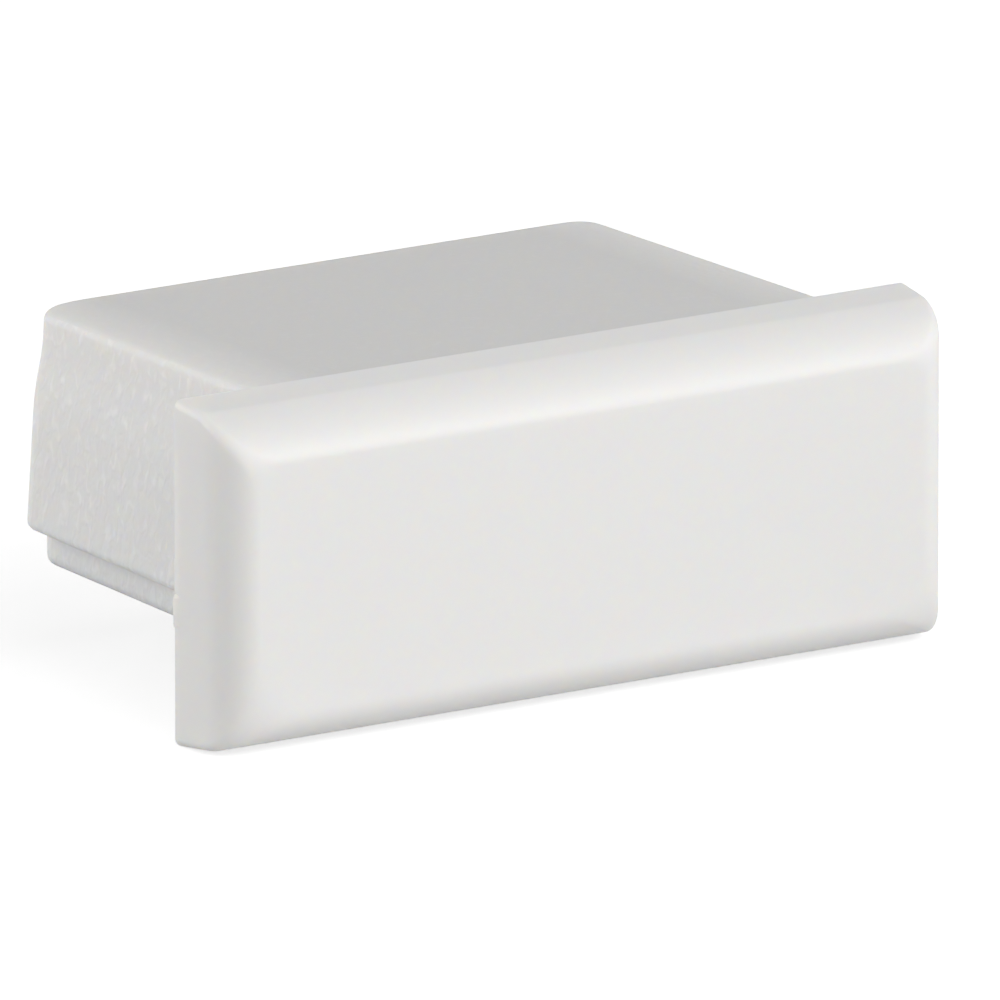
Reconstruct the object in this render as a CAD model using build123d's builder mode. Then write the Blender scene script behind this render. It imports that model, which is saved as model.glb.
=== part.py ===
from build123d import *

"""End cap for a slim surface profile: a face plate with a plug that pushes into the profile's channel.

Frame: X across the width, +Y from the seat face into the profile, +Z up. The origin is the middle of the
plate's outline, on the seat face: the back of the plate, which meets the profile's cut end.
"""

import os
from math import radians, tan

# ---- Driving dimensions, mm ----

# Face plate. Its outline at the seat face is as large as the profile's own section.
plate_width = 17.4
plate_height = 7.1
plate_thickness = 1.9
plate_corner_radius = 0.05  # at the front, where the rim is narrowest
plate_draft = 6.5  # degrees, the rim narrows from the seat face to the front
front_edge_radius = 0.75

# Plug, measured at its root on the seat face. Its flanks run down from an upright neck, over a sloping
# shoulder, to the lower flanks, which widen to the plug's bottom.
plug_length = 8.47
plug_top_width = 13.47
plug_full_width = 14.32
plug_height = 4.735
plug_top_step = 0.03  # the plug's top lies this far below the plate's
neck_height = 0.8
shoulder_height = 1.1
shoulder_flare = 0.24
flank_blend_radius = 2.5
plug_back_corner_radius = 0.55
plug_rim_radius = 0.3
plug_bottom_radius = 0.32

# Foot, the narrower ledge under the plug
foot_width = 13.21
foot_height = 0.84
foot_back_corner_radius = 0.4
foot_edge_radius = 0.25

mould_draft = 0.6  # degrees, on every flank of the plug and the foot, so that they slide out of the mould

# Gate mark: the low stub where the plastic entered the mould, on the rim's left, beside the seat face
gate_length = 0.6
gate_height = 0.72
gate_stand = 0.05  # how far it stands past the plate's widest outline
gate_level = -0.74

# ---- Sizes and levels that follow from them ----

rim_lean = plate_thickness * tan(radians(plate_draft))  # how far the rim leans in over the plate's thickness
plug_top = plate_height / 2 - plug_top_step
plug_bottom = plug_top - plug_height
foot_bottom = plug_bottom - foot_height
neck_bottom = plug_top - neck_height
shoulder_bottom = neck_bottom - shoulder_height

# ---- Plug: half its section is drawn and mirrored, then drawn out with the mould's draft ----

with BuildPart() as plug:
    with BuildSketch(Plane.XZ):
        with BuildLine():
            flank = Polyline(
                (plug_top_width / 2, plug_top),
                (plug_top_width / 2, neck_bottom),
                (plug_top_width / 2 + shoulder_flare, shoulder_bottom),
                (plug_full_width / 2, plug_bottom),
            )
            bends = flank.vertices().sort_by(Axis.Y)[1:3]
            fillet(bends, flank_blend_radius)
            mirror(about=Plane.YZ)
            Line((-plug_top_width / 2, plug_top), (plug_top_width / 2, plug_top))
            Line((-plug_full_width / 2, plug_bottom), (plug_full_width / 2, plug_bottom))
        make_face()
    extrude(amount=-plug_length, taper=mould_draft)
    back_corners = plug.faces().sort_by(Axis.Y)[-1].edges().sort_by(Axis.Z)[1:-1]
    fillet(back_corners, plug_back_corner_radius)
    top_rim = plug.faces().sort_by(Axis.Z)[-1].edges().sort_by(Axis.Y)[1:]
    fillet(top_rim, plug_rim_radius)
    bottom_rim = plug.faces().sort_by(Axis.Z)[0].edges().sort_by(Axis.Y)[1:]
    fillet(bottom_rim, plug_bottom_radius)

# ---- Foot: drawn up into the middle of the plug, which it becomes one with ----

with BuildPart() as foot:
    with BuildSketch(Plane.XZ):
        with Locations((0, foot_bottom)):
            Rectangle(foot_width, foot_height + plug_height / 2, align=(Align.CENTER, Align.MIN))
    extrude(amount=-plug_length, taper=mould_draft)
    foot_corners = foot.faces().sort_by(Axis.Y)[-1].edges().sort_by(Axis.Z)[1:-1]
    fillet(foot_corners, foot_back_corner_radius)
    foot_rim = foot.faces().sort_by(Axis.Z)[0].edges().sort_by(Axis.Y)[1:]
    fillet(foot_rim, foot_edge_radius)

# ---- End cap: the plate with its rounded front rim, the gate mark, the plug and the foot, one moulding ----

with BuildPart() as end_cap:
    with BuildSketch(Plane.XZ):
        RectangleRounded(plate_width, plate_height, plate_corner_radius + rim_lean)
    extrude(amount=plate_thickness, taper=plate_draft)
    front_rim = end_cap.faces().sort_by(Axis.Y)[0].edges()
    fillet(front_rim, front_edge_radius)
    with BuildSketch(Plane.XZ):
        with Locations((-plate_width / 2 - gate_stand, gate_level)):
            Rectangle(gate_stand + plate_thickness, gate_height, align=(Align.MIN, Align.CENTER))
    extrude(amount=gate_length)
    add(plug.part)
    add(foot.part)

end_cap.part.label = "end_cap"
os.makedirs("parts", exist_ok=True)
export_step(end_cap.part, "parts/end_cap.step")
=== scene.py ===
# %% [markdown]
# # A moulded end cap for a slim profile
# This cap closes the cut end of a flat aluminium profile. A face plate covers the end, and a plug behind it
# pushes into the channel. It is one piece of white plastic, injection moulded in one shot, so it is
# modelled here as one closed mesh. The CAD model is loaded first: it fixes the size and the place of
# everything.

import math

import bmesh
import bpy
import numpy as np
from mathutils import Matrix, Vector


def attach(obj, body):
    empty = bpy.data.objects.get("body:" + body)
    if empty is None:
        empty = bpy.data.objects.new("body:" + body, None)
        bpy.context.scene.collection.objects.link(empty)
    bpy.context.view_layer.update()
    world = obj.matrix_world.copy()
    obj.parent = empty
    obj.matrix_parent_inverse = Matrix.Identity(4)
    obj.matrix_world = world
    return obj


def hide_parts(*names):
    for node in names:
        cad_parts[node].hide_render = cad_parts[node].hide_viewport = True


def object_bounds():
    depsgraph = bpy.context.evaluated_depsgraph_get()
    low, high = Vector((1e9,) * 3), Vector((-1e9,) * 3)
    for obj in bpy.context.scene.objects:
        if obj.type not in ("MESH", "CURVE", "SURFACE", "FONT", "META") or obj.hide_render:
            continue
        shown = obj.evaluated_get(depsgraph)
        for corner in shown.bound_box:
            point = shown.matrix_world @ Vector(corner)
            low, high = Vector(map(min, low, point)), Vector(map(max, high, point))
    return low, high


MM = 0.001  # one millimetre, because Blender works in metres

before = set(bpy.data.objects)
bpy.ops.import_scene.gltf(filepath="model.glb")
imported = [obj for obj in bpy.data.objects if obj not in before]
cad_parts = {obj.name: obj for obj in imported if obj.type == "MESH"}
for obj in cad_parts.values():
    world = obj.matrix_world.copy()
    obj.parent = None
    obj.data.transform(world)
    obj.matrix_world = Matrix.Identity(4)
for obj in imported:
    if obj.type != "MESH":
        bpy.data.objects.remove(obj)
cad_low, cad_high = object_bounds()
print("CAD box, mm:", [round(side / MM, 2) for side in cad_high - cad_low])

# %% [markdown]
# ## Sizes
# The overall sizes of the plate and the plug are read from the CAD box, so that the two models can't drift
# apart. The smaller ones, such as radii and drafts, are written where they are first needed. X runs across
# the width, +Y from the seat face along the plug, and +Z up. The seat face is at Y = 0, and the plate's
# front is at negative Y.

# %% Sizes
HAIR = 0.01 * MM  # closer than this counts as the same place
ALONG = 0.9  # a direction with this much of an axis in it runs along that axis

half_width = cad_high.x
half_height = cad_high.z
plate_thickness = -cad_low.y
plug_length = cad_high.y
print("plate, mm:", round(2 * half_width / MM, 2), "x", round(2 * half_height / MM, 2),
      "x", round(plate_thickness / MM, 2), "- plug length, mm:", round(plug_length / MM, 2))

# %% [markdown]
# ## Helpers for modelling by hand
# In the Blender window a modeller clicks on faces and edges. A script has to say which ones it means, so
# `choose` selects them by the place of their middle and by their direction or normal. Everything is
# deselected first, because an operator acts on all that is selected.

# %% Start and choose


def work_alone(piece):
    """Leaves edit mode and makes this piece the only one selected."""
    if bpy.context.mode != "OBJECT":
        bpy.ops.object.mode_set(mode="OBJECT")
    bpy.ops.object.select_all(action="DESELECT")
    piece.select_set(True)
    bpy.context.view_layer.objects.active = piece


def block(name, low, high):
    """Adds a cube that fills the box from low to high, applies its place, and opens it in edit mode."""
    if bpy.context.mode != "OBJECT":
        bpy.ops.object.mode_set(mode="OBJECT")
    bpy.ops.object.select_all(action="DESELECT")
    low, high = Vector(low), Vector(high)
    bpy.ops.mesh.primitive_cube_add(size=1, location=(low + high) / 2, scale=high - low)
    piece = bpy.context.object
    piece.name = piece.data.name = name
    bpy.ops.object.transform_apply(location=True, rotation=True, scale=True)
    bpy.ops.object.mode_set(mode="EDIT")
    return piece


def choose(kind, test):
    """Selects the vertices, edges or faces of the open piece for which test(middle, direction) is true."""
    bpy.ops.mesh.select_mode(type=kind)
    bpy.ops.mesh.select_all(action="DESELECT")
    mesh = bmesh.from_edit_mesh(bpy.context.object.data)
    mesh.normal_update()
    if kind == "VERT":
        found = [v for v in mesh.verts if test(v.co, v.normal)]
    elif kind == "EDGE":
        found = [e for e in mesh.edges
                 if test((e.verts[0].co + e.verts[1].co) / 2, (e.verts[1].co - e.verts[0].co).normalized())]
    else:
        found = [f for f in mesh.faces if test(f.calc_center_median(), f.normal)]
    for element in found:
        element.select_set(True)
    bmesh.update_edit_mesh(bpy.context.object.data)


# %% Round off and report
ARC_STEPS = 8  # a rounding has this many faces across it
SMALL_ARC_STEPS = 6


def round_off(radius, steps):
    """Bevels the selected edges to a rounding."""
    bpy.ops.mesh.bevel(offset=radius, offset_type="OFFSET", segments=steps, profile=0.5, affect="EDGES")


def report(piece):
    """Leaves edit mode and prints how many faces a piece has, and whether it is closed."""
    work_alone(piece)
    mesh = bmesh.new()
    mesh.from_mesh(piece.data)
    open_edges = sum(1 for e in mesh.edges if not e.is_manifold)
    print(piece.name, "- faces", len(mesh.faces), "- open edges", open_edges,
          "- volume, mm3", round(mesh.calc_volume() / MM**3, 1))
    mesh.free()


# %% [markdown]
# ## The face plate
# The plate could be a bevelled cube, but its rim isn't square. It leans in a few degrees towards the front,
# so that it comes out of the mould, and then rolls over into the front face. On the sides and below, the
# roll is close to a quarter of an ellipse. On top it is longer and flatter, nearly a soft chamfer. A bevel
# makes round arcs of one size, so the rim is drawn out by hand: the front face is extruded in small steps,
# and each of its sides moves in by its own amount.

# %% The rim's profile
SIDE_RIM = {"slope": 0.06, "depth": 0.98 * MM, "inset": 0.72 * MM, "fullness": 2.1}
TOP_RIM = {"slope": 0.12, "depth": 1.1 * MM, "inset": 0.88 * MM, "fullness": 1.2}
BOTTOM_RIM = {"slope": 0.105, "depth": 0.95 * MM, "inset": 0.72 * MM, "fullness": 2.0}


def rolled(rim, depth):
    """How far the rim has rolled over at this depth: 0 where the roll starts, and 1 at the front face.

    The fullness is the curve's power: 2 is a quarter of an ellipse, and near 1 it is a soft chamfer.
    """
    share = min(1.0, max(0.0, (depth - plate_thickness + rim["depth"]) / rim["depth"]))
    return 1 - math.sqrt(1 - share ** rim["fullness"])


def rim_inset(rim, depth):
    """How far the rim lies inside the seat's outline at this depth."""
    return depth * rim["slope"] + rim["inset"] * rolled(rim, depth)


for place, rim in (("side", SIDE_RIM), ("top", TOP_RIM), ("bottom", BOTTOM_RIM)):
    print(place, "- inset of the front face, mm:", round(rim_inset(rim, plate_thickness) / MM, 2))

# %% [markdown]
# The four corners need care. They are tight at the seat face, but grow as the rim rolls over, which makes
# them soft, like the end of a thumb. After each step every corner is moved in, and then scaled about the
# point where its two sides would meet. Scaling an arc about that point only changes its radius, and the
# sides stay straight.

# %% The rim's steps and corners
ROLL_STEPS = 20
SEAT_CORNER = 0.18 * MM
FRONT_CORNERS = {1: 0.5 * MM, -1: 1.2 * MM}  # the radius of the upper and of the lower corners at the front
CORNERS = [(side_x, side_z) for side_x in (-1, 1) for side_z in (-1, 1)]

roll_start = plate_thickness - max(rim["depth"] for rim in (SIDE_RIM, TOP_RIM, BOTTOM_RIM))
depths = [HAIR, roll_start]
for step in range(1, ROLL_STEPS + 1):  # closer together towards the front, where the curve is tightest
    depths.append(roll_start + (plate_thickness - roll_start) * math.sin(math.pi / 2 * step / ROLL_STEPS))


def corner_radius(side_z, depth):
    """The radius of the upper or lower corners at this depth."""
    return SEAT_CORNER + (FRONT_CORNERS[side_z] - SEAT_CORNER) * rolled(SIDE_RIM, depth)


print("the rim's depths, mm:", [round(depth / MM, 2) for depth in depths])

# %% Face plate


def draw_rim_to(depth, before):
    """Draws the front face forward from one depth to the next, and moves its sides and corners in."""
    choose("FACE", lambda middle, normal: normal.y < -ALONG and middle.y < HAIR / 10 - before)
    bpy.ops.mesh.extrude_region_move(TRANSFORM_OT_translate={"value": (0, before - depth, 0)})
    for side_x, side_z in CORNERS:
        level_rim = TOP_RIM if side_z > 0 else BOTTOM_RIM
        across, up = rim_inset(SIDE_RIM, depth), rim_inset(level_rim, depth)
        choose("VERT", lambda place, normal: abs(place.y + depth) < HAIR / 10
               and place.x * side_x > 0 and place.z * side_z > 0)
        step_across, step_up = across - rim_inset(SIDE_RIM, before), up - rim_inset(level_rim, before)
        bpy.ops.transform.translate(value=(-side_x * step_across, 0, -side_z * step_up))
        growth = corner_radius(side_z, depth) / corner_radius(side_z, before)
        bpy.ops.transform.resize(
            value=(growth, 1, growth),
            center_override=(side_x * (half_width - across), -depth, side_z * (half_height - up)),
        )


plate = block("end_cap_moulding", (-half_width, -HAIR, -half_height), (half_width, 0, half_height))
choose("EDGE", lambda middle, along: abs(along.y) > ALONG)
round_off(SEAT_CORNER, ARC_STEPS)
for before, depth in zip(depths, depths[1:]):
    draw_rim_to(depth, before)
report(plate)

# %% [markdown]
# ## The plug
# The plug's flanks aren't flat. From the top they run down as an upright neck, lean out over a shoulder,
# and then widen gently to the bottom, so that the plug presses against the channel's walls. The back end is
# smaller than the root, which is the draft that lets the moulding slide out. A loft between two outlines
# could make this, but a block that is cut and widened keeps its faces in tidy rows, which the roundings
# need.

# %% The flank's profile
PLUG_TOP = half_height - 0.03 * MM
PLUG_BOTTOM = PLUG_TOP - 4.735 * MM
NECK_BOTTOM = PLUG_TOP - 0.8 * MM
SHOULDER_BOTTOM = NECK_BOTTOM - 1.1 * MM
HALF_TOP_WIDTH = 13.47 * MM / 2
HALF_SHOULDER_WIDTH = HALF_TOP_WIDTH + 0.24 * MM
HALF_FULL_WIDTH = 14.32 * MM / 2
BEND_REACH = 0.35 * MM  # each bend in the flank is spread this far up and down
BEND_SAMPLES = 9


def flank_half_width(level):
    """Half the plug's width at this height: straight stretches, averaged over a reach to soften the bends."""
    samples = [level + BEND_REACH * (2 * step / (BEND_SAMPLES - 1) - 1) for step in range(BEND_SAMPLES)]
    widths = np.interp(samples, (PLUG_BOTTOM, SHOULDER_BOTTOM, NECK_BOTTOM),
                       (HALF_FULL_WIDTH, HALF_SHOULDER_WIDTH, HALF_TOP_WIDTH))
    return float(widths.mean())


for place, level in (("top", PLUG_TOP), ("neck", NECK_BOTTOM), ("shoulder", SHOULDER_BOTTOM)):
    print("plug's width at the", place + ", mm:", round(2 * flank_half_width(level) / MM, 2))

# %% [markdown]
# Plug and foot are both blocks that get narrower towards the back, with two rounded back corners and a
# rounded rim, so each of these jobs is a helper. A rim is the line where a face that is wanted meets one
# that isn't.

# %% Helpers for plug and foot
MOULD_DRAFT = math.tan(math.radians(0.6))  # every flank leans in by this share of its length
ROOT_DEPTH = 0.2 * MM  # the plug and the foot start this deep in the plate: deeper, they would show in front


def draw_in_back(half_reach, bottom, top):
    """Gives a block its draft: its back end is smaller than its root by the draft on every side."""
    lean = (plug_length + ROOT_DEPTH) * MOULD_DRAFT
    choose("VERT", lambda place, direction: place.y > plug_length - HAIR)
    bpy.ops.transform.resize(
        value=(1 - lean / half_reach, 1, 1 - 2 * lean / (top - bottom)),
        center_override=(0, plug_length, (top + bottom) / 2),
    )


def round_back_corners(radius):
    """Rounds the two upright edges at a block's back end."""
    choose("EDGE", lambda middle, along: middle.y > plug_length - HAIR and abs(along.z) > ALONG)
    round_off(radius, ARC_STEPS)


def choose_rim(face_test, keep):
    """Selects the edges round the faces whose normal passes face_test, where keep(middle) is true."""
    bpy.ops.mesh.select_mode(type="EDGE")
    bpy.ops.mesh.select_all(action="DESELECT")
    mesh = bmesh.from_edit_mesh(bpy.context.object.data)
    mesh.normal_update()
    inside = {f for f in mesh.faces if face_test(f.normal)}
    rim = [e for e in mesh.edges if len(inside.intersection(e.link_faces)) == 1
           and keep((e.verts[0].co + e.verts[1].co) / 2)]
    for edge in rim:
        edge.select_set(True)
    bmesh.update_edit_mesh(bpy.context.object.data)
    return len(rim)


print("the back end is smaller by, mm:", round(2 * (plug_length + ROOT_DEPTH) * MOULD_DRAFT / MM, 2))

# %% [markdown]
# The order matters. The back corners are rounded while the block is still plain, because a wide bevel tears
# where it meets many short edges. Level cuts then go through the whole block, and after the last cut each
# ring of points is widened to the flank's profile. The rims are rounded at the very end.

# %% Plug
TOP_LEAN = 0.045 * MM  # the back end of the top is this much lower than its draft makes it
PLUG_BACK_CORNER = 0.55 * MM
PLUG_TOP_RIM = 0.15 * MM
PLUG_BOTTOM_RIM = 0.2 * MM
FLANK_ROWS = 16
bends_top, bends_bottom = NECK_BOTTOM + BEND_REACH, SHOULDER_BOTTOM - BEND_REACH
levels = [bends_top + (bends_bottom - bends_top) * row / FLANK_ROWS for row in range(FLANK_ROWS + 1)]


def widen(factor):
    """Scales the selected points sideways, away from the middle plane."""
    bpy.ops.transform.resize(value=(factor, 1, 1), center_override=(0, 0, 0))


plug = block("plug", (-HALF_TOP_WIDTH, -ROOT_DEPTH, PLUG_BOTTOM), (HALF_TOP_WIDTH, plug_length, PLUG_TOP))
draw_in_back(HALF_TOP_WIDTH, PLUG_BOTTOM, PLUG_TOP)
choose("VERT", lambda place, direction: place.y > plug_length - HAIR and place.z > NECK_BOTTOM)
bpy.ops.transform.translate(value=(0, 0, -TOP_LEAN))
round_back_corners(PLUG_BACK_CORNER)
for level in levels:
    bpy.ops.mesh.select_all(action="SELECT")
    bpy.ops.mesh.bisect(plane_co=(0, 0, level), plane_no=(0, 0, 1))
for level in levels:
    choose("VERT", lambda place, direction: abs(place.z - level) < HAIR)
    widen(flank_half_width(level) / HALF_TOP_WIDTH)
choose("VERT", lambda place, direction: place.z < (PLUG_BOTTOM + bends_bottom) / 2)
widen(HALF_FULL_WIDTH / HALF_TOP_WIDTH)
print("edges of the top rim:", choose_rim(lambda normal: normal.z > ALONG, lambda middle: middle.y > 0))
round_off(PLUG_TOP_RIM, ARC_STEPS)
print("edges of the bottom rim:", choose_rim(lambda normal: normal.z < -ALONG, lambda middle: middle.y > 0))
round_off(PLUG_BOTTOM_RIM, SMALL_ARC_STEPS)

# %% [markdown]
# ## The plug's crown
# A flat moulded face cools unevenly and ends up slightly crowned. The plug's top sinks a little towards its
# edges, by about a seventh of a millimetre on the left and much less on the right, and light slides off it
# there. Rows of cuts give the top enough points to bend. Each point then gets a weight that grows towards
# the edge, and a Displace modifier lowers the points by their weights, so that the rounded rim bends along.

# %% Cuts in the plug's top
CROWN_REACH = 1.2 * MM
CROWN_START = 0.26 * MM  # the first cut clears the rounded rim by running this far inside the flank
CROWN_ROWS = 7

work_alone(plug)
bpy.ops.object.mode_set(mode="EDIT")
for row in range(CROWN_ROWS):
    for side in (-1, 1):
        across = side * (HALF_TOP_WIDTH - CROWN_START - (CROWN_REACH - CROWN_START) * row / (CROWN_ROWS - 1))
        bpy.ops.mesh.select_all(action="SELECT")
        bpy.ops.mesh.bisect(plane_co=(across, 0, 0), plane_no=(1, 0, 0))
report(plug)

# %% The plug's crown
CROWN_DROP = 0.14 * MM
CROWN_POWER = 2.0
CROWN_ON_THE_RIGHT = 0.25  # the right edge sinks by this share of what the left one does
RIM_DEPTH = 0.4 * MM  # points down to here bend with the top, and the neck below them stays

weights = plug.vertex_groups.new(name="crown")
for point in plug.data.vertices:
    share = min(1.0, max(0.0, 1 - (HALF_TOP_WIDTH - abs(point.co.x)) / CROWN_REACH))
    strength = 1.0 if point.co.x < 0 else CROWN_ON_THE_RIGHT
    if point.co.z > PLUG_TOP - RIM_DEPTH:
        weights.add([point.index], strength * share ** CROWN_POWER, "REPLACE")
crown = plug.modifiers.new("crown", "DISPLACE")
crown.direction = "Z"
crown.mid_level = 0.0
crown.strength = -CROWN_DROP
crown.vertex_group = "crown"
bpy.ops.object.modifier_apply(modifier=crown.name)
report(plug)

# %% [markdown]
# ## The foot
# Under the plug runs a narrower ledge that slides along the channel's floor. It is a plain block with the
# same draft, rounded at its back corners and along its lower edges, and most of it is hidden in the plug.

# %% Foot
FOOT_BOTTOM = PLUG_BOTTOM - 0.84 * MM
FOOT_TOP = (PLUG_TOP + PLUG_BOTTOM) / 2
HALF_FOOT_WIDTH = 13.21 * MM / 2
FOOT_BACK_CORNER = 0.4 * MM
FOOT_RIM = 0.25 * MM

foot = block("foot", (-HALF_FOOT_WIDTH, -ROOT_DEPTH, FOOT_BOTTOM), (HALF_FOOT_WIDTH, plug_length, FOOT_TOP))
draw_in_back(HALF_FOOT_WIDTH, FOOT_BOTTOM, FOOT_TOP)
round_back_corners(FOOT_BACK_CORNER)
choose_rim(lambda normal: normal.z < -ALONG, lambda middle: middle.y > 0)
round_off(FOOT_RIM, SMALL_ARC_STEPS)
report(foot)

# %% [markdown]
# ## The gate mark
# Where the plastic entered the mould a low stub is left on the rim, close to the seat face. It is a small
# pad that stands a hair past the plate's side. Its front end is pushed in to follow the leaning rim, so
# that it fades out instead of ending in a step, and its edges are rounded until it is a pillow.

# %% Gate mark
GATE_LENGTH = 0.42 * MM
GATE_HALF_HEIGHT = 0.37 * MM
GATE_LEVEL = -0.76 * MM
GATE_STAND = 0.05 * MM
GATE_FADE = 0.07 * MM  # the front end is pushed this far behind the leaning rim
GATE_RIM = 0.11 * MM
gate_sink = GATE_LENGTH * SIDE_RIM["slope"] + GATE_FADE
gate_outside = -half_width - GATE_STAND

gate = block(
    "gate_mark",
    (gate_outside, -GATE_LENGTH, GATE_LEVEL - GATE_HALF_HEIGHT),
    (-half_width + 2 * GATE_STAND + gate_sink, -2 * HAIR, GATE_LEVEL + GATE_HALF_HEIGHT),
)
choose("EDGE", lambda middle, along: middle.x < -half_width and middle.y < HAIR - GATE_LENGTH
       and abs(along.z) > ALONG)
bpy.ops.transform.translate(value=(gate_sink, 0, 0))
choose_rim(lambda normal: normal.x < -ALONG, lambda middle: middle.y < -3 * HAIR)
round_off(GATE_RIM, SMALL_ARC_STEPS)
report(gate)

# %% [markdown]
# ## One moulding
# Four overlapping solids aren't one moulding: they would hide walls inside each other. A Boolean union
# keeps only the outer skin. Smooth shading by angle then blends the roundings, and weighted normals keep
# the large faces flat beside them.

# %% Union
SMOOTH_BELOW = math.radians(35)  # edges that are sharper than this stay crisp

work_alone(plate)
for part in (plug, foot, gate):
    union = plate.modifiers.new("union", "BOOLEAN")
    union.operation = "UNION"
    union.solver = "EXACT"
    union.object = part
    bpy.ops.object.modifier_apply(modifier=union.name)
for part in (plug, foot, gate):
    bpy.data.objects.remove(part)

bpy.ops.object.mode_set(mode="EDIT")
bpy.ops.mesh.select_all(action="SELECT")
bpy.ops.mesh.remove_doubles(threshold=HAIR / 10)
bpy.ops.mesh.normals_make_consistent(inside=False)
bpy.ops.object.mode_set(mode="OBJECT")
bpy.ops.object.shade_smooth_by_angle(angle=SMOOTH_BELOW)
weighted = plate.modifiers.new("weighted_normals", "WEIGHTED_NORMAL")
weighted.keep_sharp = True
bpy.ops.object.modifier_apply(modifier=weighted.name)
report(plate)

# %% [markdown]
# ## Shader effects that the finishes share
# The plate is smooth, the plug's flanks are grained and its top is dull, but all are the same plastic. What
# they share is made once, as node groups, and each finish sets its own values. Sizes go in as millimetres,
# so that the values can be read as real ones. Two small helpers keep the node code short.

# %% Helpers for nodes
FLOAT, VECTOR = "NodeSocketFloat", "NodeSocketVector"


def new_group(name, inputs, outputs):
    """Makes a shader node group with these named sockets and returns its tree, input node and output node."""
    tree = bpy.data.node_groups.new(name, "ShaderNodeTree")
    for socket, kind, value in inputs:
        made = tree.interface.new_socket(socket, in_out="INPUT", socket_type=kind)
        if value is not None:
            made.default_value = value
    for socket, kind in outputs:
        tree.interface.new_socket(socket, in_out="OUTPUT", socket_type=kind)
    print("node group:", name)
    return tree, tree.nodes.new("NodeGroupInput"), tree.nodes.new("NodeGroupOutput")


def maths(tree, operation, *values):
    """Adds a math node. Numbers are set on its sockets, and sockets are linked to them."""
    node = tree.nodes.new("ShaderNodeMath")
    node.operation = operation
    for socket, value in zip(node.inputs, values):
        if isinstance(value, bpy.types.NodeSocket):
            tree.links.new(value, socket)
        else:
            socket.default_value = value
    return node.outputs[0]


# %% [markdown]
# ### Tone drift
# Melted plastic cools with slow, weak clouds of tone where it flowed. A noise texture gives the clouds.
# They are centred on 1, because a colour is multiplied by them.

# %% Tone drift
DRIFT_DETAIL = 2.0

drift, group_in, group_out = new_group(
    "tone_drift", [("Vector", VECTOR, None), ("Size mm", FLOAT, 3.0), ("Strength", FLOAT, 0.02)],
    [("Factor", FLOAT)])
clouds = drift.nodes.new("ShaderNodeTexNoise")
clouds.inputs["Detail"].default_value = DRIFT_DETAIL
drift.links.new(group_in.outputs["Vector"], clouds.inputs["Vector"])
drift.links.new(maths(drift, "DIVIDE", 1 / MM, group_in.outputs["Size mm"]), clouds.inputs["Scale"])
centred = maths(drift, "SUBTRACT", clouds.outputs[0], 0.5)
drift.links.new(maths(drift, "MULTIPLY_ADD", centred, group_in.outputs["Strength"], 1.0),
                group_out.inputs["Factor"])

# %% [markdown]
# ### Mould grain
# The plug's part of the mould was roughened, which leaves a fine grain of short strokes, longer along Z than
# across it. A noise texture makes them when its coordinates are multiplied by less in Z than in X and Y.
# Height feeds a bump, and the fleck output is 1 only on the highest crests, which are painted a little paler:
# painted glints that stand in for light catching the grain.

# %% Mould grain
STROKE_DETAIL = 1.5
STROKE_BEND = 0.6
CRESTS_FROM, CRESTS_TO = 0.55, 0.75

grain, group_in, group_out = new_group(
    "mould_grain", [("Vector", VECTOR, None), ("Size mm", FLOAT, 0.1), ("Length", FLOAT, 2.0)],
    [("Height", FLOAT), ("Glint flecks", FLOAT)])
across = maths(grain, "DIVIDE", 1 / MM, group_in.outputs["Size mm"])
scale = grain.nodes.new("ShaderNodeCombineXYZ")
grain.links.new(across, scale.inputs["X"])
grain.links.new(across, scale.inputs["Y"])
grain.links.new(maths(grain, "DIVIDE", across, group_in.outputs["Length"]), scale.inputs["Z"])
stretched = grain.nodes.new("ShaderNodeVectorMath")
stretched.operation = "MULTIPLY"
grain.links.new(group_in.outputs["Vector"], stretched.inputs[0])
grain.links.new(scale.outputs[0], stretched.inputs[1])
strokes = grain.nodes.new("ShaderNodeTexNoise")
strokes.inputs["Scale"].default_value = 1.0
strokes.inputs["Detail"].default_value = STROKE_DETAIL
strokes.inputs["Distortion"].default_value = STROKE_BEND
grain.links.new(stretched.outputs[0], strokes.inputs["Vector"])
grain.links.new(strokes.outputs[0], group_out.inputs["Height"])
glint_crests = grain.nodes.new("ShaderNodeMapRange")
glint_crests.inputs["From Min"].default_value = CRESTS_FROM
glint_crests.inputs["From Max"].default_value = CRESTS_TO
grain.links.new(strokes.outputs[0], glint_crests.inputs["Value"])
grain.links.new(glint_crests.outputs[0], group_out.inputs["Glint flecks"])

# %% [markdown]
# ## The white plastic
# White plastic isn't a painted skin: light goes in, scatters for a few tenths of a millimetre and comes out
# again, which softens every edge. A Principled shader with subsurface scattering does that. The finishes
# are one function with different values: the tone, how far light scatters, how rough the surface is, and
# how deep the mould's grain goes.

# %% One function for every finish
WHITE = (0.825, 0.82, 0.811)
SCATTER_RADIUS = (1.0, 0.8, 0.55)  # red light travels furthest in the plastic
PLASTIC_IOR = 1.46
DRIFT_SIZE_MM = 4.0
GRAIN_SIZE_MM = 0.2
GRAIN_LENGTH = 1.7


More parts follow.
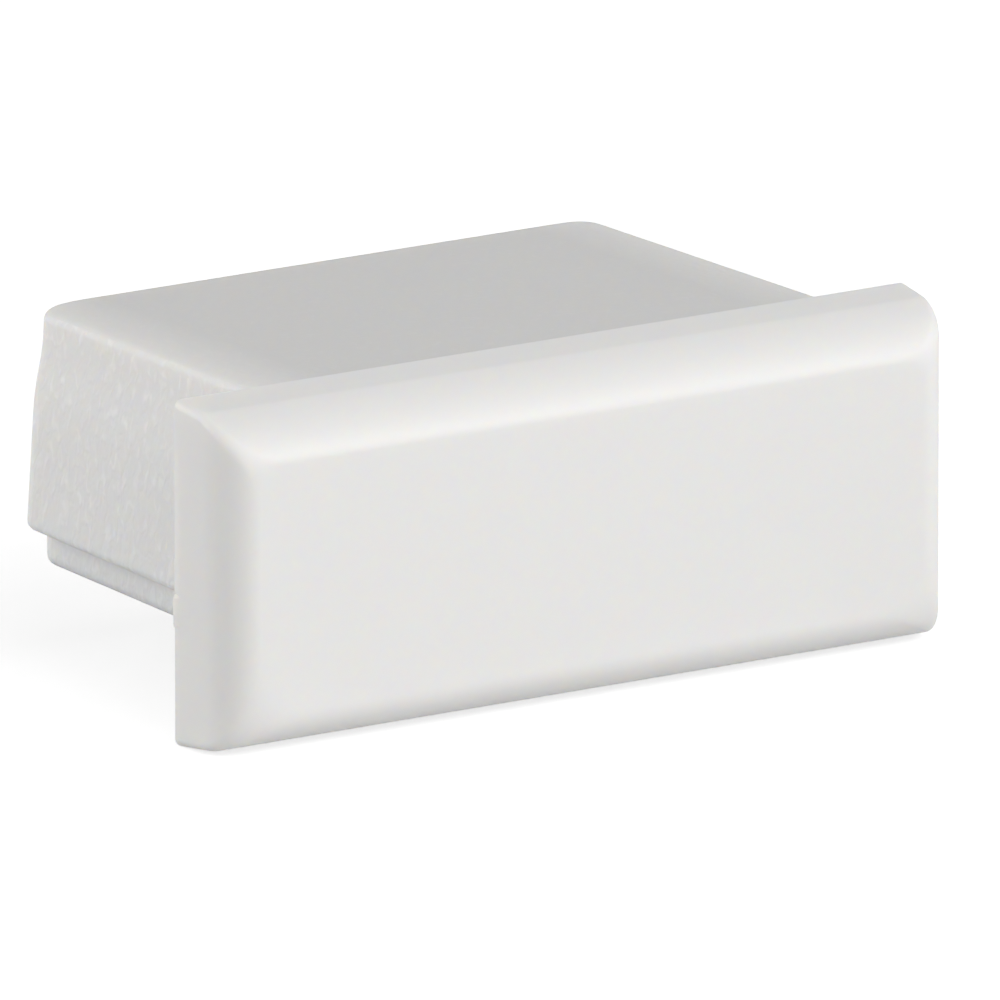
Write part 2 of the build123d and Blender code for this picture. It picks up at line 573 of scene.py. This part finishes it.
def white_plastic(name, tone, scatter, roughness, swing, shine, grain_depth, glint_flecks, drift_strength):
    """The cap's plastic. Swing is how far the grain moves the roughness, and shine is the specular level."""
    material = bpy.data.materials.new(name)
    material.use_nodes = True
    tree = material.node_tree
    shader = tree.nodes["Principled BSDF"]
    shader.inputs["Subsurface Weight"].default_value = 1.0
    shader.inputs["Subsurface Radius"].default_value = SCATTER_RADIUS
    shader.inputs["Subsurface Scale"].default_value = scatter
    shader.inputs["IOR"].default_value = PLASTIC_IOR
    shader.inputs["Specular IOR Level"].default_value = shine

    place = tree.nodes.new("ShaderNodeTexCoord").outputs["Object"]
    clouds = tree.nodes.new("ShaderNodeGroup")
    clouds.node_tree = drift
    clouds.inputs["Size mm"].default_value = DRIFT_SIZE_MM
    clouds.inputs["Strength"].default_value = drift_strength
    tree.links.new(place, clouds.inputs["Vector"])
    texture = tree.nodes.new("ShaderNodeGroup")
    texture.node_tree = grain
    texture.inputs["Size mm"].default_value = GRAIN_SIZE_MM
    texture.inputs["Length"].default_value = GRAIN_LENGTH
    tree.links.new(place, texture.inputs["Vector"])

    colour = tree.nodes.new("ShaderNodeVectorMath")
    colour.name = "toned_white"
    colour.operation = "SCALE"
    colour.inputs[0].default_value = [tone * channel for channel in WHITE]
    # The grain's highest crests are painted paler: painted glints of the grain.
    tree.links.new(maths(tree, "MULTIPLY_ADD", texture.outputs["Glint flecks"], glint_flecks, clouds.outputs["Factor"]),
                   colour.inputs["Scale"])
    tree.links.new(colour.outputs[0], shader.inputs["Base Color"])
    tree.links.new(maths(tree, "MULTIPLY_ADD", texture.outputs["Height"], swing, roughness - swing / 2),
                   shader.inputs["Roughness"])
    bump = tree.nodes.new("ShaderNodeBump")
    bump.inputs["Distance"].default_value = grain_depth
    tree.links.new(texture.outputs["Height"], bump.inputs["Height"])
    tree.links.new(bump.outputs[0], shader.inputs["Normal"])
    print("finish:", name, "- tone", tone, "- roughness", roughness)
    return material


# %% [markdown]
# Three finishes show on the cap. The plate's part of the mould was polished, so it is smooth and has a soft
# shine. The plug's flanks have the full grain of the mould. The plug's top is dull with hardly any grain,
# and its tone is set a little darker, which stands in for the shade that falls on it in a real studio.

# %% Three finishes
GRAINED_TONE = 0.995
# The top's tone is set lower than the flanks' tone: painted shade on the plug's top, on top of its real dull
# finish.
SATIN_SHADE_TONE = 0.86

smooth = white_plastic(
    "white_plastic_smooth", tone=1.0, scatter=0.3 * MM, roughness=0.41, swing=0.01, shine=0.48,
    grain_depth=0.0003 * MM, glint_flecks=0.0, drift_strength=0.006)
grained = white_plastic(
    "white_plastic_grained", tone=GRAINED_TONE, scatter=0.7 * MM, roughness=0.6, swing=0.1, shine=0.5,
    grain_depth=0.05 * MM, glint_flecks=0.08, drift_strength=0.02)
satin_and_shade = white_plastic(
    "white_plastic_satin_and_shade", tone=SATIN_SHADE_TONE, scatter=0.7 * MM, roughness=0.8, swing=0.05, shine=0.25,
    grain_depth=0.015 * MM, glint_flecks=0.02, drift_strength=0.01)

# %% [markdown]
# Two finishes that meet in a hard line would look like two parts. So the top's tone rises to that of the
# flanks over the last stretch before its left and right edges. This is painted light: it lifts the top's
# painted shade there and stands in for the glow along its rounded edges. Object coordinates say how far out a
# point lies.

# %% Painted light near the top's edges
EDGE_LIGHT_REACH = 1.6 * MM


def paint_edge_light(material, gain):
    """Painted light: raises a finish's tone from where the edge light's reach begins, by this share at the
    very edge.
    """
    tree = material.node_tree
    tone = tree.nodes["toned_white"].inputs["Scale"]
    plain_tone = tone.links[0].from_socket
    axes = tree.nodes.new("ShaderNodeSeparateXYZ")
    tree.links.new(tree.nodes["Texture Coordinate"].outputs["Object"], axes.inputs[0])
    edge_light = tree.nodes.new("ShaderNodeMapRange")
    edge_light.inputs["From Min"].default_value = HALF_TOP_WIDTH - EDGE_LIGHT_REACH
    edge_light.inputs["From Max"].default_value = HALF_TOP_WIDTH
    edge_light.inputs["To Max"].default_value = gain
    tree.links.new(maths(tree, "ABSOLUTE", axes.outputs["X"]), edge_light.inputs["Value"])
    tree.links.new(maths(tree, "ADD", plain_tone, edge_light.outputs[0]), tone)


# Painted light: the top is lighter near its left and right edges.
paint_edge_light(satin_and_shade, GRAINED_TONE / SATIN_SHADE_TONE - 1)
print("the top's tone rises at its edges by, %:", round(100 * (GRAINED_TONE / SATIN_SHADE_TONE - 1), 1))

# %% [markdown]
# ## Dress the moulding
# Each face takes the finish of its place. In front of the seat face it is smooth. Behind it, a face that
# looks up is satin, and the rest is grained. The piece then stands for the CAD node, which is hidden.

# %% Finishes on the faces
LOOKS_UP = 0.7  # a face whose normal has this much of Z in it belongs to the plug's top

plate.data.materials.clear()
for finish in (smooth, grained, satin_and_shade):
    plate.data.materials.append(finish)
for face in plate.data.polygons:
    if face.center.y > HAIR:
        face.material_index = 2 if face.normal.z > LOOKS_UP else 1
for slot, finish in enumerate(plate.data.materials):
    print(finish.name, "- faces", sum(1 for face in plate.data.polygons if face.material_index == slot))

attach(plate, "root")
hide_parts("end_cap")

# %% [markdown]
# ## The floor
# The set is a plain white table under a soft studio light. To the camera and in reflections the floor glows
# up to white, which leaves its shadow in place, because the glow is added to what the lamps give. Light
# that it throws back on the cap comes from its plain tone alone.

# %% Floor
FLOOR_REACH = 0.3
FLOOR_GLOW = 0.68
FLOOR_TONE = 0.65

bpy.ops.object.select_all(action="DESELECT")
bpy.ops.mesh.primitive_plane_add(size=2 * FLOOR_REACH, location=(0, 0, cad_low.z))
floor = bpy.context.object
floor.name = "floor"


def seen_directly(tree):
    """1 where a ray comes from the camera, a reflection or a view through something clear, else 0."""
    path = tree.nodes.new("ShaderNodeLightPath")
    mirror = maths(tree, "MAXIMUM", path.outputs["Is Camera Ray"], path.outputs["Is Glossy Ray"])
    return maths(tree, "MAXIMUM", mirror, path.outputs["Is Transmission Ray"])


paper = bpy.data.materials.new("floor_paper")
paper.use_nodes = True
shader = paper.node_tree.nodes["Principled BSDF"]
shader.inputs["Base Color"].default_value = (FLOOR_TONE, FLOOR_TONE, FLOOR_TONE, 1)
shader.inputs["Roughness"].default_value = 1.0
shader.inputs["Specular IOR Level"].default_value = 0.0
shader.inputs["Emission Color"].default_value = (1, 1, 1, 1)
paper.node_tree.links.new(maths(paper.node_tree, "MULTIPLY", seen_directly(paper.node_tree), FLOOR_GLOW),
                          shader.inputs["Emission Strength"])
floor.data.materials.append(paper)
print("floor's level, mm:", round(floor.location.z / MM, 2), "- width, mm:", round(2 * FLOOR_REACH / MM))

# %% [markdown]
# ## The light
# Three large square lamps stand close round the cap, one in front, one above on the right and one behind on
# the left, and the world fills in a little from everywhere. A large lamp close by gives soft shadows and
# broad, weak highlights. The camera sees the world as white, whatever its light.

# %% World
AMBIENT = 0.06

world = bpy.data.worlds.new("studio")
bpy.context.scene.world = world
world.use_nodes = True
background = world.node_tree.nodes["Background"]
background.inputs["Color"].default_value = (1, 1, 1, 1)
world.node_tree.links.new(
    maths(world.node_tree, "MULTIPLY_ADD", seen_directly(world.node_tree), 1 - AMBIENT, AMBIENT),
    background.inputs["Strength"])
print("world's light:", AMBIENT)

# %% Lamps
LAMP_DISTANCE = 0.35
LAMP_SIDE = 0.45


def softbox(name, direction, level):
    """A square lamp that points at the cap and lights a white face turned to it to about this level."""
    direction = Vector(direction).normalized()
    lamp = bpy.data.lights.new(name, "AREA")
    lamp.shape = "SQUARE"
    lamp.size = LAMP_SIDE
    lamp.energy = level * (math.pi * LAMP_DISTANCE) ** 2
    holder = bpy.data.objects.new(name, lamp)
    bpy.context.scene.collection.objects.link(holder)
    holder.location = direction * LAMP_DISTANCE
    holder.rotation_euler = (-direction).to_track_quat("-Z", "Y").to_euler()
    print(name, "- power, W:", round(lamp.energy, 2))


softbox("softbox_front", (0.10, -0.95, 0.28), 0.95)
softbox("softbox_above", (0.50, -0.60, 0.62), 0.62)
softbox("softbox_left", (-0.79, 0.59, 0.15), 1.33)

# %% [markdown]
# ## The camera
# It stands in front of the cap, to its left and a little above it. A very long lens from a distance keeps
# the cap's edges almost parallel, as in a product shot.

# %% Camera
VIEW_ANGLE = math.radians(33.08)
VIEW_HEIGHT = math.radians(14.64)
VIEW_DISTANCE = 0.6667
AIM_RIGHT = -0.855 * MM
AIM_UP = 0.259 * MM
LENS_MM = 1205
SENSOR_MM = 36

towards_camera = Vector((-math.sin(VIEW_ANGLE) * math.cos(VIEW_HEIGHT),
                         -math.cos(VIEW_ANGLE) * math.cos(VIEW_HEIGHT), math.sin(VIEW_HEIGHT)))
view_right = Vector((math.cos(VIEW_ANGLE), -math.sin(VIEW_ANGLE), 0))
view_up = towards_camera.cross(view_right)
aim = AIM_RIGHT * view_right + AIM_UP * view_up

camera_data = bpy.data.cameras.new("camera")
camera_data.lens = LENS_MM
camera_data.sensor_width = SENSOR_MM
camera_data.clip_end = 10
camera = bpy.data.objects.new("camera", camera_data)
bpy.context.scene.collection.objects.link(camera)
camera.location = aim + towards_camera * VIEW_DISTANCE
camera.rotation_euler = towards_camera.to_track_quat("Z", "Y").to_euler()
bpy.context.scene.camera = camera
bpy.context.scene.view_settings.view_transform = "Standard"
print("camera's place, mm:", [round(axis / MM, 1) for axis in camera.location])
